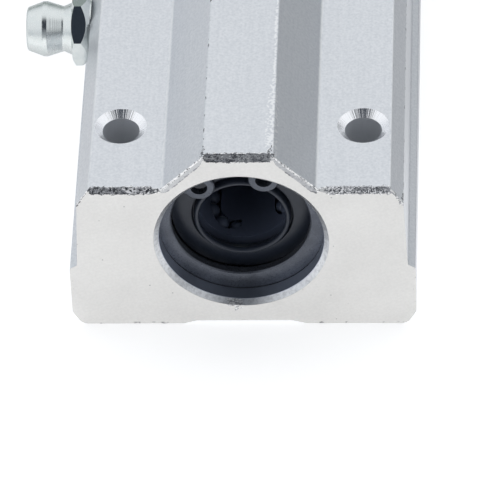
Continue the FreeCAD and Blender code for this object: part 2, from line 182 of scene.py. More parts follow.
# How far a point lies from the top outline of its end, down and back, and how wide the file cut there
cut_fade = 0.35
valley_fade = 1.4
slope_top = node(tree, "MapRange", {}, {"Value": across, "From Min": ridge_edge_x, "From Max": ridge_foot_x,
                                        "To Min": ridge_z, "To Max": wing_z})
corner_fall = node(tree, "MapRange", {}, {"Value": across, "From Min": wing_edge_x, "From Max": wall_edge_x,
                                          "To Max": wall_edge_z - wing_z})
outline_top = node(tree, "Math", "ADD", {0: slope_top, 1: corner_fall})
below = node(tree, "Math", "SUBTRACT", {0: outline_top, 1: place.outputs["Z"]})
behind = node(tree, "Math", "SUBTRACT", {0: block_end, 1: along})
from_edge = node(tree, "Math", "ADD", {0: below, 1: behind})
ridge_width = node(tree, "MapRange", {}, {"Value": across, "From Min": ridge_edge_x - cut_fade,
                                          "From Max": ridge_edge_x, "To Min": ridge_cut, "To Max": slope_cut})
wing_width = node(tree, "MapRange", {}, {"Value": across, "From Min": ridge_foot_x,
                                         "From Max": ridge_foot_x + valley_fade,
                                         "To Max": wing_cut - slope_cut})
corner_width = node(tree, "MapRange", {}, {"Value": across, "From Min": wing_edge_x - cut_fade,
                                           "From Max": wing_edge_x, "To Max": slope_cut - wing_cut})
inner_width = node(tree, "Math", "ADD", {0: ridge_width, 1: wing_width})
cut_width = node(tree, "Math", "ADD", {0: inner_width, 1: corner_width})
# Skin: a fine grain with faint die lines along the block
grain_width = 0.3
die_line_gap = 0.3
stretched = node(tree, "Mapping", {}, {"Vector": spot, "Scale": (1, 0.02, 1)})
die_lines = node(tree, "TexNoise", {}, {"Vector": stretched, "Scale": 1 / die_line_gap, "Detail": 2.0})
faint_lines = node(tree, "Math", "MULTIPLY", {0: die_lines, 1: 0.25})
grain = node(tree, "TexNoise", {}, {"Vector": spot, "Scale": 1 / grain_width, "Detail": 3.0})
worked = node(tree, "Math", "ADD", {0: faint_lines, 1: grain})
skin_share = node(tree, "MapRange", {}, {"Value": worked, "From Min": 0.4, "From Max": 0.85})
skin = node(tree, "MixRGB", {}, {"Fac": skin_share, "Color1": skin_dull, "Color2": skin_light})
# Saw marks: faint arcs about a blade centre that lies far above the block, and a cloudy tone
saw_step = 0.45
blade_centre = (-70.0, 0, 140.0)
cloud_width = 7.0
blade = node(tree, "VectorMath", "DISTANCE", {0: off_axis, 1: blade_centre}).outputs["Value"]
turns = node(tree, "Math", "MULTIPLY", {0: blade, 1: 2 * math.pi / saw_step})
arcs = node(tree, "Math", "SINE", {0: turns})
faint_arcs = node(tree, "Math", "MULTIPLY", {0: arcs, 1: 0.03})
sawn_mix = node(tree, "Math", "ADD", {0: grain, 1: faint_arcs})
cloud = node(tree, "TexNoise", {}, {"Vector": spot, "Scale": 1 / cloud_width, "Detail": 2.0})
sawn_tone = node(tree, "Math", "ADD", {0: sawn_mix, 1: cloud})
sawn_share = node(tree, "MapRange", {}, {"Value": sawn_tone, "From Min": 0.6, "From Max": 1.4})
sawn_face = node(tree, "MixRGB", {}, {"Fac": sawn_share, "Color1": sawn_dull, "Color2": sawn_light})
# Nicks on the rim of the sawn face
side_rim = 0.35
foot_rim = 0.3
chip_width = 1.1
at_side = node(tree, "Math", "GREATER_THAN", {0: across, 1: block_side - side_rim})
at_foot = node(tree, "Math", "LESS_THAN", {0: place.outputs["Z"], 1: block_foot + foot_rim})
at_rim = node(tree, "Math", "MAXIMUM", {0: at_side, 1: at_foot})
chips = node(tree, "TexNoise", {}, {"Vector": spot, "Scale": 1 / chip_width, "Detail": 3.0})
chipped = node(tree, "MapRange", {}, {"Value": chips, "From Min": 0.58, "From Max": 0.68, "To Max": 0.8})
rim_nick = node(tree, "Math", "MULTIPLY", {0: at_rim, 1: chipped})
nicked_end = node(tree, "MixRGB", {}, {"Fac": rim_nick, "Color1": sawn_face, "Color2": nick_and_shade_dark})
# A few dark specks of dirt on the sawn face
speck_gap = 2.1
dirt = node(tree, "TexVoronoi", {}, {"Vector": spot, "Scale": 1 / speck_gap})
speck = node(tree, "MapRange", {}, {"Value": dirt, "From Min": 0.035, "From Max": 0.055,
                                    "To Min": 0.45, "To Max": 0.0})
specked_end = node(tree, "MixRGB", {}, {"Fac": speck, "Color1": nicked_end, "Color2": nick_and_shade_dark})
# Pale scuffs on the right of the ridge near the front, and dark nicks along two of the long edges
streak_width = 0.3
scuff_x = ridge_edge_x - 0.2
scuff_front = -26.0
scuff_back = -18.0
nick_start = 1.0 - block_end
nick_stop = 2.2 - block_end
streaked = node(tree, "Mapping", {}, {"Vector": spot, "Scale": (1, 0.3, 1)})
streaks = node(tree, "TexNoise", {}, {"Vector": streaked, "Scale": 1 / streak_width, "Detail": 4.0})
scuff_way, ridge_way, wall_way = [
    node(tree, "VectorMath", "DISTANCE", {0: off_axis, 1: (x, 0, z)}).outputs["Value"]
    for x, z in ((scuff_x, ridge_z), (-ridge_edge_x, ridge_z), (wall_edge_x, wall_edge_z))]
scuff_room = node(tree, "MapRange", {}, {"Value": place.outputs["Y"], "From Min": scuff_front,
                                         "From Max": scuff_back, "To Min": 0.8, "To Max": 0.2})
scuff_noise = node(tree, "MapRange", {}, {"Value": grain, "From Min": 0.46, "From Max": 0.6})
scuff_reach = node(tree, "Math", "MULTIPLY", {0: scuff_room, 1: scuff_noise})
scuffed = node(tree, "Math", "LESS_THAN", {0: scuff_way, 1: scuff_reach})
nick_way = node(tree, "Math", "MINIMUM", {0: ridge_way, 1: wall_way})
front_way = node(tree, "Math", "MINIMUM", {0: nick_way, 1: scuff_way})
long_nick = node(tree, "MapRange", {}, {"Value": streaks, "From Min": 0.54, "From Max": 0.75, "To Max": 0.16})
front_room = node(tree, "MapRange", {}, {"Value": place.outputs["Y"], "From Min": nick_start,
                                         "From Max": nick_stop, "To Min": 0.5, "To Max": 0.0})
front_nick = node(tree, "Math", "MULTIPLY", {0: front_room, 1: scuff_noise})
nicked_long = node(tree, "Math", "LESS_THAN", {0: nick_way, 1: long_nick})
nicked_front = node(tree, "Math", "LESS_THAN", {0: front_way, 1: front_nick})
nicked = node(tree, "Math", "MAXIMUM", {0: nicked_long, 1: nicked_front})
# Painted highlight: a thin pale line along the outer edges of the wings and the feet of the slopes, standing
# in for the highlights of small rounds on these edges
folded = node(tree, "CombineXYZ", {}, {"X": across, "Z": place.outputs["Z"]})
outer_way, foot_way = [
    node(tree, "VectorMath", "DISTANCE", {0: folded, 1: (x, 0, wing_z)}).outputs["Value"]
    for x in (wing_edge_x, ridge_foot_x)]
edge_highlight_way = node(tree, "Math", "MINIMUM", {0: outer_way, 1: foot_way})
edge_highlight_reach = node(tree, "MapRange", {}, {"Value": streaks, "From Min": 0.35, "From Max": 0.65,
                                         "To Min": 0.06, "To Max": 0.24})
painted_edge_highlight = node(tree, "Math", "LESS_THAN", {0: edge_highlight_way, 1: edge_highlight_reach})
faint_edge_highlight = node(tree, "Math", "MULTIPLY", {0: painted_edge_highlight, 1: 0.5})
scuff_and_edge_highlight = node(tree, "Math", "MAXIMUM", {0: scuffed, 1: faint_edge_highlight})
# Filed smears, drawn out across the block, grey and pale at random; the grey is partly painted dark
# reflection, standing in for the dark that the rough filed bevel reflects
smear_width = 0.2
dragged = node(tree, "Mapping", {}, {"Vector": spot, "Scale": (0.5, 1, 1)})
smears = node(tree, "TexNoise", {}, {"Vector": dragged, "Scale": 1 / smear_width, "Detail": 3.0})
smear_share = node(tree, "MapRange", {}, {"Value": smears, "From Min": 0.42, "From Max": 0.58})
filed_smears_and_painted_dark = node(tree, "MixRGB", {}, {"Fac": smear_share, "Color1": filed_grey_and_painted_dark, "Color2": filed_light})
# Torn borders: the tools left the outline of each end ragged, pale on the slopes and painted dark beside the
# bevels, a painted dark reflection that carries the look of the rough bevels onto the faces around them
rag_width = 0.45
corner_run = 1.2
dark_x = -2.0
light_x = 12.0
middle_fade = 1.0
band_lead = 0.3
band_grow = 0.4
band_fade = 0.6
ragged = node(tree, "TexNoise", {}, {"Vector": spot, "Scale": 1 / rag_width, "Detail": 5.0,
                                     "Roughness": 0.65})
band_start = node(tree, "MapRange", {}, {"Value": across, "From Min": ridge_edge_x - band_lead,
                                         "From Max": ridge_edge_x + band_grow, "To Max": slope_band})
band_stop = node(tree, "MapRange", {}, {"Value": across, "From Min": ridge_foot_x - band_fade,
                                        "From Max": ridge_foot_x + band_grow, "To Max": -slope_band})
band_width = node(tree, "Math", "ADD", {0: band_start, 1: band_stop})
sawn_tear = node(tree, "MapRange", {}, {"Value": band_width, "From Max": slope_band,
                                        "To Min": 0.24, "To Max": 0.06})
tear_plain = node(tree, "MapRange", {}, {"Value": sawn, "To Min": 0.3, "To Max": sawn_tear})
at_corner = node(tree, "MapRange", {}, {"Value": across, "From Min": wing_edge_x - corner_run,
                                        "From Max": wing_edge_x})
on_right = node(tree, "MapRange", {}, {"Value": place.outputs["X"], "From Min": -middle_fade,
                                       "From Max": middle_fade, "To Min": 0.06, "To Max": 0.4})
corner_tear = node(tree, "Math", "MULTIPLY", {0: at_corner, 1: on_right})
tear_most = node(tree, "Math", "ADD", {0: tear_plain, 1: corner_tear})
tear_reach = node(tree, "MapRange", {}, {"Value": ragged, "From Min": 0.42, "From Max": 0.66,
                                         "To Max": tear_most})
past_cut = node(tree, "Math", "SUBTRACT", {0: from_edge, 1: cut_width})
torn_off = node(tree, "Math", "LESS_THAN", {0: past_cut, 1: tear_reach})
dark_below = node(tree, "MapRange", {}, {"Value": cut_width, "From Min": slope_cut, "From Max": wing_cut,
                                         "To Min": 0.44, "To Max": 0.54})
corner_dark = node(tree, "Math", "MULTIPLY", {0: at_corner, 1: 0.1})
dark_limit = node(tree, "Math", "ADD", {0: dark_below, 1: corner_dark})
# Painted dark reflection: the part of each torn border coloured dark, from darkest on the left to lighter on
# the right
painted_dark_share = node(tree, "Math", "LESS_THAN", {0: smears, 1: dark_limit})
to_right = node(tree, "MapRange", {}, {"Value": place.outputs["X"], "From Min": dark_x, "From Max": light_x})
torn_painted_dark = node(tree, "MixRGB", {}, {"Fac": to_right, "Color1": nick_and_shade_dark, "Color2": nick_and_shade_light})
torn_edge_painted_dark = node(tree, "MixRGB", {}, {"Fac": painted_dark_share, "Color1": torn_pale, "Color2": torn_painted_dark})
# Slope bands: painted light and shade for the narrow bevel that the file left under each slope, painted pale
# on the left and grey on the right, above a line of torn metal
band_soft = 0.08
line_least = 0.25
past_band = node(tree, "Math", "SUBTRACT", {0: past_cut, 1: band_width})
in_band = node(tree, "MapRange", {}, {"Value": past_band, "From Min": -band_soft, "From Max": band_soft,
                                      "To Min": 1.0, "To Max": 0.0})
painted_bevel_share = node(tree, "Math", "MULTIPLY", {0: in_band, 1: sawn})
bevel_light_and_shade = node(tree, "MixRGB", {}, {"Fac": to_right, "Color1": bevel_painted_light, "Color2": bevel_painted_shade})
band_noise = node(tree, "MapRange", {}, {"Value": smears, "From Min": 0.35, "From Max": 0.65, "To Max": 0.3})
bevel_face_painted = node(tree, "MixRGB", {}, {"Fac": band_noise, "Color1": bevel_light_and_shade, "Color2": torn_pale})
line_way = node(tree, "Math", "ABSOLUTE", {0: past_band})
line_reach = node(tree, "MapRange", {}, {"Value": ragged, "From Min": 0.45, "From Max": 0.66, "To Max": 0.22})
line_near = node(tree, "Math", "LESS_THAN", {0: line_way, 1: line_reach})
line_room = node(tree, "Math", "GREATER_THAN", {0: band_width, 1: line_least})
line_torn = node(tree, "Math", "MULTIPLY", {0: line_near, 1: line_room})
line_share = node(tree, "Math", "MULTIPLY", {0: line_torn, 1: sawn})
line_colour = node(tree, "MixRGB", {}, {"Fac": to_right, "Color1": nick_and_shade_light, "Color2": nick_and_shade_dark})
# A tuft of torn metal on the lower lip of the bore's mouth, and a mottled chamfer
tuft_place = (-1.0, 0, -10.0)
tuft_reach = 1.1
on_chamfer = node(tree, "Math", "GREATER_THAN", {0: radius, 1: chamfer_start})
mouth_way = node(tree, "VectorMath", "DISTANCE", {0: off_axis, 1: tuft_place}).outputs["Value"]
mouth_reach = node(tree, "MapRange", {}, {"Value": ragged, "From Min": 0.36, "From Max": 0.56,
                                          "To Max": tuft_reach})
mouth_near = node(tree, "Math", "LESS_THAN", {0: mouth_way, 1: mouth_reach})
mouth_tuft = node(tree, "Math", "MULTIPLY", {0: mouth_near, 1: on_chamfer})
tuft_colour = node(tree, "MixRGB", {}, {"Fac": smear_share, "Color1": nick_and_shade_light, "Color2": torn_pale})
mottle = node(tree, "MapRange", {}, {"Value": ragged, "From Min": 0.38, "From Max": 0.56})
chamfer_face = node(tree, "MixRGB", {}, {"Fac": mottle, "Color1": chamfer_dull, "Color2": chamfer_light})
bore_face = node(tree, "MixRGB", {}, {"Fac": on_chamfer, "Color1": bored_colour, "Color2": chamfer_face})
hole_face = node(tree, "MixRGB", {}, {"Fac": below_sink, "Color1": sink_colour, "Color2": drilled_colour})
# All the colours together, each mark laid over the ones before it, and then the roughness in the same way
colour = skin
for share, mark in ((scuff_and_edge_highlight, scuff_and_highlight_pale), (nicked, nick_and_shade_dark), (sawn, specked_end),
                    (painted_bevel_share, bevel_face_painted), (line_share, line_colour), (filed, filed_smears_and_painted_dark),
                    (torn_off, torn_edge_painted_dark), (bored, bore_face), (mouth_tuft, tuft_colour),
                    (drilled, hole_face)):
    colour = node(tree, "MixRGB", {}, {"Fac": share, "Color1": colour, "Color2": mark})
hole_rough = node(tree, "MapRange", {}, {"Value": below_sink, "To Min": 0.27, "To Max": 0.56})
rough = node(tree, "MapRange", {}, {"Value": worked, "From Min": 0.4, "From Max": 0.85,
                                    "To Min": 0.45, "To Max": 0.39})
for share, mark_rough in ((sawn, 0.62), (filed, 0.4), (bored, 0.38), (drilled, hole_rough)):
    rough = node(tree, "MapRange", {}, {"Value": share, "To Min": rough, "To Max": mark_rough})
relief = node(tree, "MapRange", {}, {"Value": sawn, "To Min": worked, "To Max": sawn_mix})
bump = node(tree, "Bump", {}, {"Strength": 0.15, "Distance": 0.02 * mm, "Height": relief})
# Chatter: the countersink's cutter left shallow radial flutes about 4 degrees apart
flutes_per_radian = 14.0
beside = node(tree, "Math", "SUBTRACT", {0: across, 1: hole_x})
beyond = node(tree, "Math", "SUBTRACT", {0: along, 1: hole_y})
angle = node(tree, "Math", "ARCTAN2", {0: beyond, 1: beside})
flutes = node(tree, "TexNoise", {"noise_dimensions": "1D"},
              {"W": angle, "Scale": flutes_per_radian, "Detail": 2.0})
chatter = node(tree, "Math", "MULTIPLY", {0: flutes, 1: drilled})
chatter_bump = node(tree, "Bump", {}, {"Strength": 0.6, "Distance": 0.06 * mm, "Height": chatter,
                                       "Normal": bump})
dress(surface, colour, rough, chatter_bump)
nodes["housing"].material_slots[0].material = aluminium

# File marks: on each filed edge the file tore the soft aluminium into flakes with ragged borders.
# They are thin crusts of the block's own metal, as wide as the bevel, and lighter on the right wing.
flake = 0.085
crust = 0.1
skim = 0.005 * mm
border_tear = 0.38
border_clump = 0.25
relief_clump = 0.16
ridge_relief = 0.055
left_relief = 0.16
right_relief = 0.3
ridge_left_gap = 0.03
ridge_right_gap = 0.15
wing_gap = 0.3
left_valley_gap = 0.9
right_valley_gap = 0.5
# Torn aluminium: grey smears, darker on the left and lighter on the right, and pale, matt metal where the
# file skipped, most of it low on the right wing
grit_width = 0.22
skip_width = 0.6
valley_run = 4.5
low_start = 0.2
left_tone_x = -4.0
right_tone_x = 10.0
torn, surface, tree, spot = new_finish("torn_aluminium", 1.0, 0.32)
place = node(tree, "SeparateXYZ", {}, {0: spot})
dragged = node(tree, "Mapping", {}, {"Vector": spot, "Scale": (0.4, 1, 1)})
grit = node(tree, "TexNoise", {}, {"Vector": dragged, "Scale": 1 / grit_width, "Detail": 3.0})
grit_share = node(tree, "MapRange", {}, {"Value": grit, "From Min": 0.4, "From Max": 0.6})
left_smear_tone = node(tree, "MixRGB", {}, {"Fac": grit_share, "Color1": linear("#A0A1A6"),
                                   "Color2": linear("#B2B3B7")})
right_smear_tone = node(tree, "MixRGB", {}, {"Fac": grit_share, "Color1": linear("#8E8F94"),
                                  "Color2": linear("#ECECEE")})
to_right = node(tree, "MapRange", {}, {"Value": place.outputs["X"], "From Min": left_tone_x,
                                       "From Max": right_tone_x})
smeared = node(tree, "MixRGB", {}, {"Fac": to_right, "Color1": left_smear_tone, "Color2": right_smear_tone})
across = node(tree, "Math", "ABSOLUTE", {0: place.outputs["X"]})
on_wing = node(tree, "MapRange", {}, {"Value": across, "From Min": ridge_edge_x, "From Max": ridge_foot_x})
to_valley = node(tree, "MapRange", {}, {"Value": across, "From Min": ridge_foot_x,
                                        "From Max": ridge_foot_x + valley_run, "To Min": 0.27, "To Max": 0.0})
skips = node(tree, "TexNoise", {}, {"Vector": dragged, "Scale": 1 / skip_width, "Detail": 4.0})
valley_skips = node(tree, "Math", "ADD", {0: skips, 1: to_valley})
low_bevel = node(tree, "MapRange", {}, {"Value": place.outputs["Z"], "From Min": wing_z - wing_cut,
                                        "From Max": wing_z - low_start, "To Min": 0.14, "To Max": 0.0})
low_skips = node(tree, "Math", "MULTIPLY", {0: low_bevel, 1: to_right})
all_skips = node(tree, "Math", "ADD", {0: valley_skips, 1: low_skips})
skip_share = node(tree, "MapRange", {}, {"Value": all_skips, "From Min": 0.53, "From Max": 0.58})
skipped = node(tree, "Math", "MULTIPLY", {0: skip_share, 1: on_wing})
torn_colour = node(tree, "MixRGB", {}, {"Fac": skipped, "Color1": smeared, "Color2": linear("#F4F4F5")})
smear_rough = node(tree, "MapRange", {}, {"Value": on_wing, "To Min": 0.5, "To Max": 0.42})
torn_rough = node(tree, "MapRange", {}, {"Value": skipped, "To Min": smear_rough, "To Max": 0.85})
dress(surface, torn_colour, torn_rough)


def apply_modifier(piece, kind, settings):
    """Adds a modifier to a piece, sets it and applies it."""
    modifier = piece.modifiers.new(kind.lower(), kind)
    for name, value in settings.items():
        setattr(modifier, name, value)
    bpy.context.view_layer.objects.active = piece
    bpy.ops.object.modifier_apply(modifier=modifier.name)


def tear(piece, size, direction, amount, group=""):
    """Pushes the points of a piece out of true along one direction, in clouds of the given size."""
    clouds = bpy.data.textures.new(piece.name + "_tear", "CLOUDS")
    clouds.noise_scale = size
    clouds.noise_depth = 3
    apply_modifier(piece, "DISPLACE", {"texture": clouds, "texture_coords": "LOCAL", "direction": direction,
                                       "strength": amount, "mid_level": 0.5, "vertex_group": group})


def settle(pieces, name, finish):
    """Joins pieces drawn in millimetres, brings them to metres, trims what stands out of the CAD box,
    and gives them their finish, slot and body."""
    bpy.ops.object.select_all(action="DESELECT")
    for piece in pieces:
        piece.select_set(True)
    bpy.context.view_layer.objects.active = pieces[0]
    if len(pieces) > 1:
        bpy.ops.object.join()
    whole = pieces[0]
    whole.name = name
    bpy.ops.object.transform_apply(location=True, rotation=True, scale=True)
    whole.data.transform(Matrix.Scale(mm, 4))
    for corner in whole.data.vertices:
        for axis in range(3):
            corner.co[axis] = min(max(corner.co[axis], cad_low[axis] + skim), cad_high[axis] - skim)
    whole.data.materials.clear()
    whole.data.materials.append(finish)
    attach(whole, "block")
    bpy.ops.object.select_all(action="DESELECT")
    return whole


def file_marks(from_x, to_x, top, cut, torn_relief, end):
    """Torn crust on one filed bevel, from one place across the block to another."""
    length = to_x - from_x
    width = cut * math.sqrt(2)
    bpy.ops.mesh.primitive_grid_add(x_subdivisions=round(length / flake), y_subdivisions=round(width / flake),
                                    size=1)
    marks = bpy.context.object
    bpy.ops.object.mode_set(mode="EDIT")
    bpy.ops.transform.resize(value=(length, width, 1))
    bpy.ops.transform.translate(value=((from_x + to_x) / 2, 0, 0))
    bpy.ops.object.mode_set(mode="OBJECT")
    border = marks.vertex_groups.new(name="border")
    border.add([v.index for v in marks.data.vertices if abs(v.co.y) > width / 2 - flake / 2], 1.0, "REPLACE")
    tear(marks, border_clump, "Y", border_tear, "border")
    tear(marks, relief_clump, "Z", torn_relief)
    apply_modifier(marks, "SOLIDIFY", {"thickness": crust, "offset": -1.0})
    marks.rotation_euler.x = math.radians(-45 * end)
    marks.location = (0, end * (block_end - cut / 2), top - cut / 2)
    return marks


filed_edges = (
    (ridge_left_gap - ridge_edge_x, ridge_edge_x - ridge_right_gap, ridge_z, ridge_cut, ridge_relief),
    (wing_gap - wing_edge_x, -ridge_foot_x - left_valley_gap, wing_z, wing_cut, left_relief),
    (ridge_foot_x + right_valley_gap, wing_edge_x - wing_gap, wing_z, wing_cut, right_relief),
)
for end, end_name in ((-1, "front"), (1, "rear")):
    marks = [file_marks(*filed_edge, end) for filed_edge in filed_edges]
    settle(marks, end_name + "_file_marks", torn)

# Burrs: a thin ragged lip of bright aluminium left by the saw along the sloping edges of each end.
# It stands on the edge and ends flush with the sawn face.
burr_radius = 0.085
burr_step = 0.08
burr_depth = 0.1
slope_out = 0.15
slope_down = 0.16
slope_foot_out = 0.2
corner_down = 0.05
corner_in = 0.02
burr_bend = 2.5 * burr_radius
bend_clump_x = 0.3
bend_clump_y = 0.22
shred_width = 0.3
burr_metal, surface, tree, spot = new_finish("bright_burr_aluminium", 1.0, 0.42)
shreds = node(tree, "TexNoise", {}, {"Vector": spot, "Scale": 1 / shred_width, "Detail": 2.0})
shred_share = node(tree, "MapRange", {}, {"Value": shreds, "From Min": 0.36, "From Max": 0.5})
burr_colour = node(tree, "MixRGB", {}, {"Fac": shred_share, "Color1": linear("#8D8E91"),
                                        "Color2": linear("#F8F8F8")})
dress(surface, burr_colour)


def burr(start, finish):
    """A thin rod between two points, cut into short lengths and torn out of line."""
    way = Vector(finish) - Vector(start)
    bpy.ops.mesh.primitive_cylinder_add(vertices=6, radius=burr_radius, depth=way.length)
    rod = bpy.context.object
    bpy.ops.object.mode_set(mode="EDIT")
    bpy.ops.mesh.select_mode(type="EDGE")
    bpy.ops.mesh.select_all(action="DESELECT")
    bpy.ops.object.mode_set(mode="OBJECT")
    for edge in rod.data.edges:
        ends = [rod.data.vertices[index].co.z for index in edge.vertices]
        edge.select = abs(ends[0] - ends[1]) > burr_radius
    bpy.ops.object.mode_set(mode="EDIT")
    bpy.ops.mesh.subdivide(number_cuts=round(way.length / burr_step))
    bpy.ops.mesh.select_mode(type="VERT")
    bpy.ops.object.mode_set(mode="OBJECT")
    tear(rod, bend_clump_x, "X", burr_bend)
    tear(rod, bend_clump_y, "Y", burr_bend)
    rod.rotation_euler = way.to_track_quat("Z", "Y").to_euler()
    rod.location = (Vector(start) + Vector(finish)) / 2
    return rod


slope_edge = ((ridge_edge_x + slope_out, ridge_z - slope_down), (ridge_foot_x + slope_foot_out, wing_z))
corner_edge = ((wing_edge_x, wing_z - corner_down), (wall_edge_x - corner_in, wall_edge_z))
for end, end_name in ((-1, "front"), (1, "rear")):
    lip_y = end * (block_end - burr_depth)
    burrs = []
    for side in (-1, 1):
        for (start_x, start_z), (stop_x, stop_z) in (slope_edge, corner_edge):
            burrs.append(burr((side * start_x, lip_y, start_z), (side * stop_x, lip_y, stop_z)))
    settle(burrs, end_name + "_burrs", burr_metal)

# Base threads: M5 threads of 0.8 mm pitch, tapped into the four base holes from below.
# Each is a ridge of the block's own metal, wound up the wall of its hole.
thread_pitch = 0.8
thread_wall = 2.53
thread_crest = 2.1
crest_width = thread_pitch / 8
root_width = thread_pitch * 0.8
thread_lead = 0.75
thread_turns = 13
thread_steps = 28


def close_ends():
    """Fills the open ends of the piece at hand and turns its faces outwards."""
    bpy.ops.object.mode_set(mode="EDIT")
    bpy.ops.mesh.select_all(action="SELECT")
    bpy.ops.mesh.fill_holes(sides=0)
    bpy.ops.mesh.normals_make_consistent(inside=False)
    bpy.ops.object.mode_set(mode="OBJECT")


def another(piece):
    """A copy of a piece, with its own mesh."""
    twin = piece.copy()
    twin.data = piece.data.copy()
    bpy.context.collection.objects.link(twin)
    return twin


bpy.ops.mesh.primitive_plane_add(size=1, rotation=(math.radians(90), 0, 0))
thread = bpy.context.object
bpy.ops.object.transform_apply(location=True, rotation=True, scale=True)
for corner in thread.data.vertices:
    inner = corner.co.x < 0
    corner.co.x = thread_crest if inner else thread_wall
    corner.co.z *= crest_width if inner else root_width
bpy.ops.object.mode_set(mode="EDIT")
bpy.ops.mesh.select_all(action="SELECT")
bpy.ops.mesh.delete(type="ONLY_FACE")
bpy.ops.object.mode_set(mode="OBJECT")
apply_modifier(thread, "SCREW", {"screw_offset": thread_pitch, "iterations": thread_turns,
                                 "steps": thread_steps, "render_steps": thread_steps,
                                 "use_smooth_shade": False})
close_ends()
threads = []
for side in (-1, 1):
    for end in (-1, 1):
        threads.append(another(thread))
        threads[-1].location = (side * hole_x, end * hole_y, block_foot + thread_lead)
bpy.data.objects.remove(thread)
settle(threads, "base_hole_threads", aluminium)

# Bearing sleeves: hardened steel tubes with raised raceways inside, ground to size and pressed in.
# The steel is oiled and has fine grinding rings; its dark grey is painted shade for the sleeve ends that lie
# in the circlips' shadow.
grinding_gap = 0.15
oil_width = 1.5
steel, surface, tree, spot = new_finish("ground_bearing_steel", 1.0, 0.28)
ringed = node(tree, "Mapping", {}, {"Vector": spot, "Scale": (0.05, 1, 0.05)})
rings = node(tree, "TexNoise", {}, {"Vector": ringed, "Scale": 1 / grinding_gap, "Detail": 2.0})
oil = node(tree, "TexNoise", {}, {"Vector": spot, "Scale": 1 / oil_width, "Detail": 3.0})
steel_mix = node(tree, "Math", "MULTIPLY", {0: rings, 1: oil})
steel_share = node(tree, "MapRange", {}, {"Value": steel_mix, "From Min": 0.12, "From Max": 0.4})
steel_painted_shade_colour = node(tree, "MixRGB", {}, {"Fac": steel_share, "Color1": linear("#5E6064"),
                                         "Color2": linear("#8C8F93")})
steel_rough = node(tree, "MapRange", {}, {"Value": oil, "From Min": 0.3, "From Max": 0.7,
                                          "To Min": 0.36, "To Max": 0.24})
steel_bump = node(tree, "Bump", {}, {"Strength": 0.1, "Distance": 0.01 * mm, "Height": rings})
dress(surface, steel_painted_shade_colour, steel_rough, steel_bump)
for end_name in ("front", "rear"):
    nodes[end_name + "_bearing_sleeve"].material_slots[0].material = steel

# Ball cages: one moulding of black acetal in each sleeve, with four ball channels.
# The plastic is satin and grainy from the mould. Its colour is painted light: a blue-grey far lighter than
# black acetal, standing in for the light that reaches the inside of the bore.
mould_width = 0.12
flow_width = 3.0
acetal, surface, tree, spot = new_finish("moulded_black_acetal", 0.0, 0.4)
mould_grain = node(tree, "TexNoise", {}, {"Vector": spot, "Scale": 1 / mould_width, "Detail": 2.0})
flow = node(tree, "TexNoise", {}, {"Vector": spot, "Scale": 1 / flow_width, "Detail": 3.0})
acetal_painted_light_colour = node(tree, "MixRGB", {}, {"Fac": flow, "Color1": linear("#565E72"),
                                          "Color2": linear("#626A7E")})
acetal_rough = node(tree, "MapRange", {}, {"Value": flow, "From Min": 0.3, "From Max": 0.7,
                                           "To Min": 0.36, "To Max": 0.48})
acetal_bump = node(tree, "Bump", {}, {"Strength": 0.2, "Distance": 0.02 * mm, "Height": mould_grain})
dress(surface, acetal_painted_light_colour, acetal_rough, acetal_bump)
for end_name in ("front", "rear"):
    nodes[end_name + "_ball_cage"].material_slots[0].material = acetal

# Bearing balls: polished steel balls that run round four closed circuits in each cage.
# They are packed in dark grease, which covers them with a soft film; its colour here is a lighter blue-grey,
# painted light like the cage's for the dark inside of the bore.
ball_radius = 0.985
corners_per_ball = 60
grease_width = 0.9
greased, surface, tree, spot = new_finish("greased_steel", 0.1, 0.4)
grease = node(tree, "TexNoise", {}, {"Vector": spot, "Scale": 1 / grease_width, "Detail": 2.0})
grease_share = node(tree, "MapRange", {}, {"Value": grease, "From Min": 0.45, "From Max": 0.65})
ball_painted_light_colour = node(tree, "MixRGB", {}, {"Fac": grease_share, "Color1": linear("#50586A"),
                                        "Color2": linear("#60687A")})
ball_rough = node(tree, "MapRange", {}, {"Value": grease_share, "To Min": 0.55, "To Max": 0.35})
dress(surface, ball_painted_light_colour, ball_rough)
bpy.ops.mesh.primitive_ico_sphere_add(subdivisions=2, radius=ball_radius)
ball = bpy.context.object
bpy.ops.object.shade_smooth()
for end_name in ("front", "rear"):
    corners = [corner.co for corner in nodes[end_name + "_balls"].data.vertices]
    balls = []
    for first in range(0, len(corners), corners_per_ball):
        balls.append(another(ball))
        balls[-1].location = sum(corners[first:first + corners_per_ball], Vector()) / corners_per_ball / mm
    ball_set = settle(balls, end_name + "_ball_set", greased)
    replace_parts(ball_set, end_name + "_balls")
bpy.data.objects.remove(ball)

# End seals: moulded nitrile rubber rings at both ends of each bearing, with a thin lip on the shaft.
# The rubber is soft black with a satin skin, and all its edges are rounded.
seal_low, seal_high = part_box("front_outer_seal")
seal_radius = seal_high.x / mm
seal_depth = (seal_high.y - seal_low.y) / mm
lip_inner = 5.0
lip_outer = 5.6
lip_half = (lip_outer - lip_inner) / 2
lip_drop = 0.55
groove_wall = 5.85
groove_depth = 1.25
band_drop = 0.8
crest_drop = 0.65
seal_rounding = 0.11
seal_steps = 96
weld_gap = 0.001
bloom_width = 1.4
pore_width = 0.1
rubber, surface, tree, spot = new_finish("moulded_nitrile_rubber", 0.0, 0.45)
surface.inputs["Specular IOR Level"].default_value = 0.4
bloom = node(tree, "TexNoise", {}, {"Vector": spot, "Scale": 1 / bloom_width, "Detail": 4.0})
pores = node(tree, "TexNoise", {}, {"Vector": spot, "Scale": 1 / pore_width, "Detail": 2.0})
rubber_colour = node(tree, "MixRGB", {}, {"Fac": bloom, "Color1": linear("#2A303C"),
                                          "Color2": linear("#363C48")})
rubber_rough = node(tree, "MapRange", {}, {"Value": bloom, "From Min": 0.3, "From Max": 0.7,
                                           "To Min": 0.4, "To Max": 0.3})
rubber_bump = node(tree, "Bump", {}, {"Strength": 0.2, "Distance": 0.02 * mm, "Height": pores})
dress(surface, rubber_colour, rubber_rough, rubber_bump)
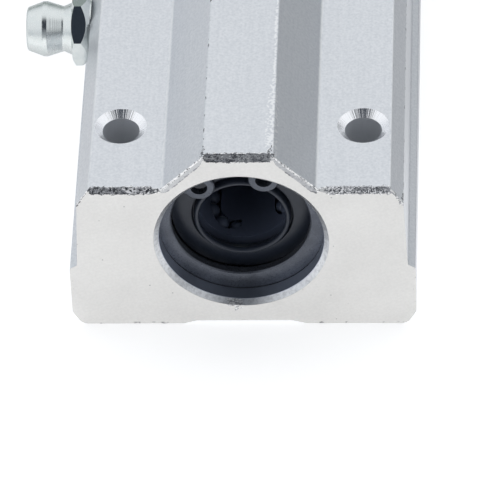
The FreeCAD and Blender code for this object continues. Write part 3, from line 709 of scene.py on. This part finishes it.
# Profile of the seal as (radius, depth behind its front), drawn point by point and turned about the shaft
profile = []
for eighth in (4, 3, 2, 1, 0):
    climb = eighth * math.pi / 4
    profile.append((lip_inner + lip_half + lip_half * math.cos(climb), lip_half - lip_half * math.sin(climb)))
profile += [
    (lip_outer, groove_depth), (groove_wall, groove_depth), (groove_wall, crest_drop),
    (seal_radius, band_drop), (seal_radius, seal_depth), (lip_outer, seal_depth),
    (lip_inner, lip_drop), (lip_inner, lip_half),
]
bpy.ops.mesh.primitive_plane_add(size=1)
seal = bpy.context.object
bpy.ops.object.mode_set(mode="EDIT")
bpy.ops.mesh.select_all(action="SELECT")
bpy.ops.mesh.merge(type="CENTER")
bpy.ops.transform.translate(value=(profile[0][0], profile[0][1], 0))
for (radius, depth), (next_radius, next_depth) in zip(profile, profile[1:]):
    step = (next_radius - radius, next_depth - depth, 0)
    bpy.ops.mesh.extrude_region_move(TRANSFORM_OT_translate={"value": step})
bpy.ops.mesh.select_all(action="SELECT")
bpy.ops.mesh.remove_doubles(threshold=weld_gap)
bpy.ops.mesh.bevel(offset=seal_rounding, segments=3, affect="VERTICES", clamp_overlap=True)
bpy.ops.mesh.select_all(action="SELECT")
bpy.ops.mesh.spin(steps=seal_steps, angle=2 * math.pi, center=(0, 0, 0), axis=(0, 1, 0), use_auto_merge=False)
bpy.ops.mesh.select_all(action="SELECT")
bpy.ops.mesh.remove_doubles(threshold=weld_gap)
bpy.ops.mesh.normals_make_consistent(inside=False)
bpy.ops.object.mode_set(mode="OBJECT")
bpy.ops.object.shade_smooth()
for seal_node in ("front_outer_seal", "front_inner_seal", "rear_inner_seal", "rear_outer_seal"):
    low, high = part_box(seal_node)
    faces_front = seal_node in ("front_outer_seal", "rear_inner_seal")
    ring = another(seal)
    ring.rotation_euler.z = 0 if faces_front else math.pi
    ring.location.y = (low.y if faces_front else high.y) / mm
    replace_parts(settle([ring], seal_node + "_ring", rubber), seal_node)
bpy.data.objects.remove(seal)

# Stop rings: split rings of drawn spring steel, snapped into the sleeves behind the seals to hold the cages.
# They are oiled and keep the fine lines of the drawing die.
drawn_width = 0.2
spring_steel, surface, tree, spot = new_finish("oiled_spring_steel", 1.0, 0.3)
drawn = node(tree, "TexNoise", {}, {"Vector": spot, "Scale": 1 / drawn_width, "Detail": 3.0})
spring_colour = node(tree, "MixRGB", {}, {"Fac": drawn, "Color1": linear("#6E7073"),
                                          "Color2": linear("#9A9CA0")})
spring_rough = node(tree, "MapRange", {}, {"Value": drawn, "From Min": 0.3, "From Max": 0.7,
                                           "To Min": 0.25, "To Max": 0.4})
dress(surface, spring_colour, spring_rough)
for end_name in ("front", "rear"):
    for place_name in ("outer", "inner"):
        nodes[end_name + "_" + place_name + "_stop_ring"].material_slots[0].material = spring_steel

# Circlips: stamped spring steel rings with an eyed lug at each end, sprung into grooves in the bore's mouths.
# The black phosphate coat is dark grey, slightly crystalline, and a little worn.
crystal_width = 0.15
coat_width = 2.0
phosphate, surface, tree, spot = new_finish("black_phosphated_steel", 0.7, 0.35)
crystals = node(tree, "TexNoise", {}, {"Vector": spot, "Scale": 1 / crystal_width, "Detail": 3.0})
coat = node(tree, "TexNoise", {}, {"Vector": spot, "Scale": 1 / coat_width, "Detail": 3.0})
coat_mix = node(tree, "Math", "MULTIPLY", {0: crystals, 1: coat})
coat_share = node(tree, "MapRange", {}, {"Value": coat_mix, "From Min": 0.12, "From Max": 0.4})
coat_colour = node(tree, "MixRGB", {}, {"Fac": coat_share, "Color1": linear("#4E525A"),
                                        "Color2": linear("#62666F")})
coat_rough = node(tree, "MapRange", {}, {"Value": crystals, "From Min": 0.3, "From Max": 0.7,
                                         "To Min": 0.26, "To Max": 0.4})
coat_bump = node(tree, "Bump", {}, {"Strength": 0.2, "Distance": 0.015 * mm, "Height": crystals})
dress(surface, coat_colour, coat_rough, coat_bump)
for end_name in ("front", "rear"):
    nodes[end_name + "_circlip"].material_slots[0].material = phosphate

# Grease nipple: turned from hexagon steel bar, plated with bright zinc and screwed into the left wall.
# The plate is a cool white metal over fine turning rings, and a little cloudy.
nipple_low, nipple_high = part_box("grease_nipple")
nipple_z = (nipple_low.z + nipple_high.z) / 2 / mm
turned_radius = 3.45
turning_gap = 0.22
haze_width = 0.8
zinc, surface, tree, spot = new_finish("bright_zinc_plate", 1.0, 0.2)
place = node(tree, "SeparateXYZ", {}, {0: spot})
off_axis = node(tree, "CombineXYZ", {}, {"Y": place.outputs["Y"], "Z": place.outputs["Z"]})
from_axis = node(tree, "VectorMath", "DISTANCE", {0: off_axis, 1: (0, 0, nipple_z)})
turned = node(tree, "Math", "LESS_THAN", {0: from_axis.outputs["Value"], 1: turned_radius})
turning = node(tree, "Mapping", {}, {"Vector": spot, "Scale": (1, 0.02, 0.02)})
turning_rings = node(tree, "TexNoise", {}, {"Vector": turning, "Scale": 1 / turning_gap, "Detail": 3.0})
haze = node(tree, "TexNoise", {}, {"Vector": spot, "Scale": 1 / haze_width, "Detail": 4.0})
ring_height = node(tree, "Math", "MULTIPLY", {0: turning_rings, 1: turned})
zinc_colour = node(tree, "MixRGB", {}, {"Fac": haze, "Color1": linear("#CDD4D4"),
                                        "Color2": linear("#E3E6E4")})
turned_rough = node(tree, "MapRange", {}, {"Value": haze, "From Min": 0.3, "From Max": 0.7,
                                           "To Min": 0.2, "To Max": 0.32})
zinc_rough = node(tree, "MapRange", {}, {"Value": turned, "To Min": 0.17, "To Max": turned_rough})
zinc_bump = node(tree, "Bump", {}, {"Strength": 0.6, "Distance": 0.03 * mm, "Height": ring_height})
dress(surface, zinc_colour, zinc_rough, zinc_bump)
nodes["grease_nipple"].material_slots[0].material = zinc

# Check ball: a polished ball of bearing steel that closes the nipple's orifice from inside.
# It sits loose on the nipple's spring and has the same oiled finish as the sleeves, painted dark grey as
# theirs is.
nodes["nipple_ball"].material_slots[0].material = steel

# Nipple spring: a coil of round spring wire that pushes the check ball out on its seat.
# It stands on the crimped inner end of the nipple and shortens as the ball goes in.
spring_low, spring_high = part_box("nipple_spring")
wire_radius = 0.15
coil_radius = (spring_high.y - spring_low.y) / 2 / mm - wire_radius
coil_length = (spring_high.x - spring_low.x) / mm - 2 * wire_radius
spring_turns = 6
coil_steps = 32
bpy.ops.mesh.primitive_circle_add(vertices=10, radius=wire_radius, rotation=(math.radians(90), 0, 0),
                                  location=(coil_radius, 0, 0))
spring = bpy.context.object
bpy.ops.object.transform_apply(location=True, rotation=True, scale=True)
apply_modifier(spring, "SCREW", {"screw_offset": coil_length / spring_turns, "iterations": spring_turns,
                                 "steps": coil_steps, "render_steps": coil_steps, "use_smooth_shade": True})
close_ends()
spring.rotation_euler.y = math.radians(90)
spring.location = (spring_low.x / mm + wire_radius, 0, (spring_low.z + spring_high.z) / 2 / mm)
settle([spring], "nipple_coil", spring_steel)
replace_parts(spring, "nipple_spring")
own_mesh(spring)

# Studio floor: a wide sheet of white paper under the block.
# It is brightest in front of the block and dimmer to the sides and the back.
floor_radius = 3.0
floor_drop = 0.02 * mm
side_near = 35.0
side_far = 80.0
bright_y = -30.0
dim_y = 10.0
patch_start = 50.0
patch_full = 140.0
patch_half = 60.0
patch_edge = 110.0
smooth = {"interpolation_type": "SMOOTHSTEP"}
bpy.ops.mesh.primitive_circle_add(vertices=64, radius=floor_radius, fill_type="NGON",
                                  location=(0, 0, cad_low.z - floor_drop))
floor = bpy.context.object
floor.name = "studio_floor"
paper = bpy.data.materials.new("white_paper")
paper.use_nodes = True
tree = paper.node_tree
tree.nodes.clear()
coords = node(tree, "TexCoord", {}, {})
spot = node(tree, "VectorMath", "SCALE", {0: coords.outputs["Object"], "Scale": 1 / mm})
place = node(tree, "SeparateXYZ", {}, {0: spot})
to_right = node(tree, "MapRange", smooth, {"Value": place.outputs["X"], "From Min": side_near,
                                           "From Max": side_far, "To Min": 1.0, "To Max": 0.0})
to_left = node(tree, "MapRange", smooth, {"Value": place.outputs["X"], "From Min": -side_far,
                                          "From Max": -side_near, "To Min": 0.7, "To Max": 1.0})
to_back = node(tree, "MapRange", smooth, {"Value": place.outputs["Y"], "From Min": bright_y,
                                          "From Max": dim_y, "To Min": 1.0, "To Max": 0.35})
to_side = node(tree, "Math", "MULTIPLY", {0: to_left, 1: to_right})
near = node(tree, "Math", "MULTIPLY", {0: to_side, 1: to_back})
seen = node(tree, "LightPath", {}, {})
mirrored = node(tree, "Math", "MAXIMUM",
                {0: seen.outputs["Is Glossy Ray"], 1: seen.outputs["Is Transmission Ray"]})
mirror_near = node(tree, "Math", "MULTIPLY", {0: mirrored, 1: near})
mirror_glow = node(tree, "Math", "MULTIPLY", {0: mirror_near, 1: 0.7})
paper_side = node(tree, "MixRGB", {}, {"Fac": to_right, "Color1": linear("#CFCFCF"),
                                       "Color2": linear("#E6E6E6")})
# A duller patch far behind the block, which its tops mirror, and which the camera still sees as white
far_back = node(tree, "MapRange", smooth, {"Value": place.outputs["Y"], "From Min": patch_start,
                                           "From Max": patch_full})
behind_block = node(tree, "Math", "ABSOLUTE", {0: place.outputs["X"]})
back_width = node(tree, "MapRange", smooth, {"Value": behind_block, "From Min": patch_half,
                                             "From Max": patch_edge, "To Min": 1.0, "To Max": 0.0})
back_share = node(tree, "Math", "MULTIPLY", {0: far_back, 1: back_width})
paper_glow = node(tree, "MapRange", {}, {"Value": back_share, "To Min": 0.55, "To Max": 1.0})
plain_glow = node(tree, "Math", "MULTIPLY", {0: seen.outputs["Is Camera Ray"], 1: paper_glow})
glow_strength = node(tree, "Math", "MAXIMUM", {0: plain_glow, 1: mirror_glow})
paper_colour = node(tree, "MixRGB", {}, {"Fac": back_share, "Color1": paper_side,
                                         "Color2": linear("#8F9894")})
matt = node(tree, "BsdfDiffuse", {}, {"Color": paper_colour})
glow = node(tree, "Emission", {}, {"Strength": glow_strength})
both = node(tree, "AddShader", {}, {0: matt, 1: glow})
node(tree, "OutputMaterial", {}, {"Surface": both})
floor.data.materials.append(paper)

# Studio light: a soft white dome with a bright lamp at each side, dimmer low on the right,
# with a dark gap high in front where the camera stands.
light_strength = 1.12
backdrop_foot = 0.006
gap_foot = math.radians(6)
gap_full = math.radians(14)
gap_dark_from = math.radians(28)
gap_dark_to = math.radians(40)
gap_fade = math.radians(75)
gap_top = math.radians(95)
world = bpy.data.worlds.new("soft_studio")
bpy.context.scene.world = world
world.use_nodes = True
tree = world.node_tree
tree.nodes.clear()
coords = node(tree, "TexCoord", {}, {})
way = node(tree, "SeparateXYZ", {}, {0: coords.outputs["Generated"]})
sideways = node(tree, "MapRange", smooth, {"Value": way.outputs["X"], "From Min": -0.5, "From Max": 0.5})
side_horizon = node(tree, "MixRGB", {}, {"Fac": sideways, "Color1": linear("#D2D6DB"),
                                         "Color2": linear("#787C80")})
to_back = node(tree, "MapRange", smooth, {"Value": way.outputs["Y"], "From Min": 0.78, "From Max": 0.9})
horizon = node(tree, "MixRGB", {}, {"Fac": to_back, "Color1": side_horizon, "Color2": linear("#8F9896")})
height = node(tree, "MapRange", smooth, {"Value": way.outputs["Z"], "From Min": 0.08, "From Max": 0.68})
aside = node(tree, "Math", "ABSOLUTE", {0: way.outputs["X"]})
lamp_side = node(tree, "MapRange", smooth, {"Value": aside, "From Min": 0.62, "From Max": 0.8})
lamp_height = node(tree, "MapRange", smooth, {"Value": way.outputs["Z"], "From Min": 0.12, "From Max": 0.36})
side_lamp = node(tree, "Math", "MULTIPLY", {0: lamp_side, 1: lamp_height})
bright = node(tree, "Math", "MAXIMUM", {0: height, 1: side_lamp})
dome = node(tree, "MixRGB", {}, {"Fac": bright, "Color1": horizon, "Color2": linear("#F6F8FB")})
forward = node(tree, "Math", "MULTIPLY", {0: way.outputs["Y"], 1: -1.0})
climb = node(tree, "Math", "ARCTAN2", {0: way.outputs["Z"], 1: forward})
gap_width = node(tree, "MapRange", smooth, {"Value": aside, "From Min": 0.22, "From Max": 0.62,
                                            "To Min": 1.0, "To Max": 0.0})
gap_start = node(tree, "MapRange", smooth, {"Value": climb, "From Min": gap_foot, "From Max": gap_full})
gap_end = node(tree, "MapRange", smooth, {"Value": climb, "From Min": gap_fade, "From Max": gap_top,
                                          "To Min": 1.0, "To Max": 0.0})
gap_front = node(tree, "Math", "MULTIPLY", {0: gap_width, 1: gap_start})
gap = node(tree, "Math", "MULTIPLY", {0: gap_front, 1: gap_end})
gap_height = node(tree, "MapRange", smooth, {"Value": climb, "From Min": gap_dark_from,
                                             "From Max": gap_dark_to})
gap_colour = node(tree, "MixRGB", {}, {"Fac": gap_height, "Color1": linear("#858A90"),
                                       "Color2": linear("#272E39")})
room = node(tree, "MixRGB", {}, {"Fac": gap, "Color1": dome, "Color2": gap_colour})
lit = node(tree, "Background", {}, {"Color": room, "Strength": light_strength})
# Behind the floor the camera sees a white backdrop, and polished metal sees its lowest strip
seen = node(tree, "LightPath", {}, {})
mirrored = node(tree, "Math", "MAXIMUM",
                {0: seen.outputs["Is Glossy Ray"], 1: seen.outputs["Is Transmission Ray"]})
at_floor = node(tree, "Math", "LESS_THAN", {0: way.outputs["Z"], 1: backdrop_foot})
mirror_strip = node(tree, "Math", "MULTIPLY", {0: mirrored, 1: at_floor})
white_share = node(tree, "Math", "MAXIMUM", {0: seen.outputs["Is Camera Ray"], 1: mirror_strip})
backdrop = node(tree, "Background", {}, {"Color": linear("#FFFFFF")})
around = node(tree, "MixShader", {}, {0: white_share, 1: lit, 2: backdrop})
node(tree, "OutputWorld", {}, {"Surface": around})

# Camera: a long lens in front of the block, above it and a little to the right.
# It is turned and rolled to the photograph's view of the front end.
view_yaw = 3.58
view_pitch = -42.90
view_roll = 2.58
view_distance = 673.9 * mm
view_target = Vector((-0.512, -27.866, -5.445)) * mm
view_lens = 434.6
turn = (Matrix.Rotation(math.radians(view_yaw), 4, "Z") @ Matrix.Rotation(math.radians(view_pitch), 4, "X")
        @ Matrix.Rotation(math.radians(view_roll), 4, "Y"))
bpy.ops.object.camera_add()
camera = bpy.context.object
camera.name = "camera"
camera.data.lens = view_lens
camera.data.clip_start = 0.05
camera.data.clip_end = 20.0
back = turn @ Vector((0, -view_distance, 0))
camera.matrix_world = (Matrix.Translation(view_target + back) @ turn
                       @ Matrix.Rotation(math.radians(90), 4, "X"))
bpy.context.scene.camera = camera
bpy.context.scene.view_settings.view_transform = "Standard"
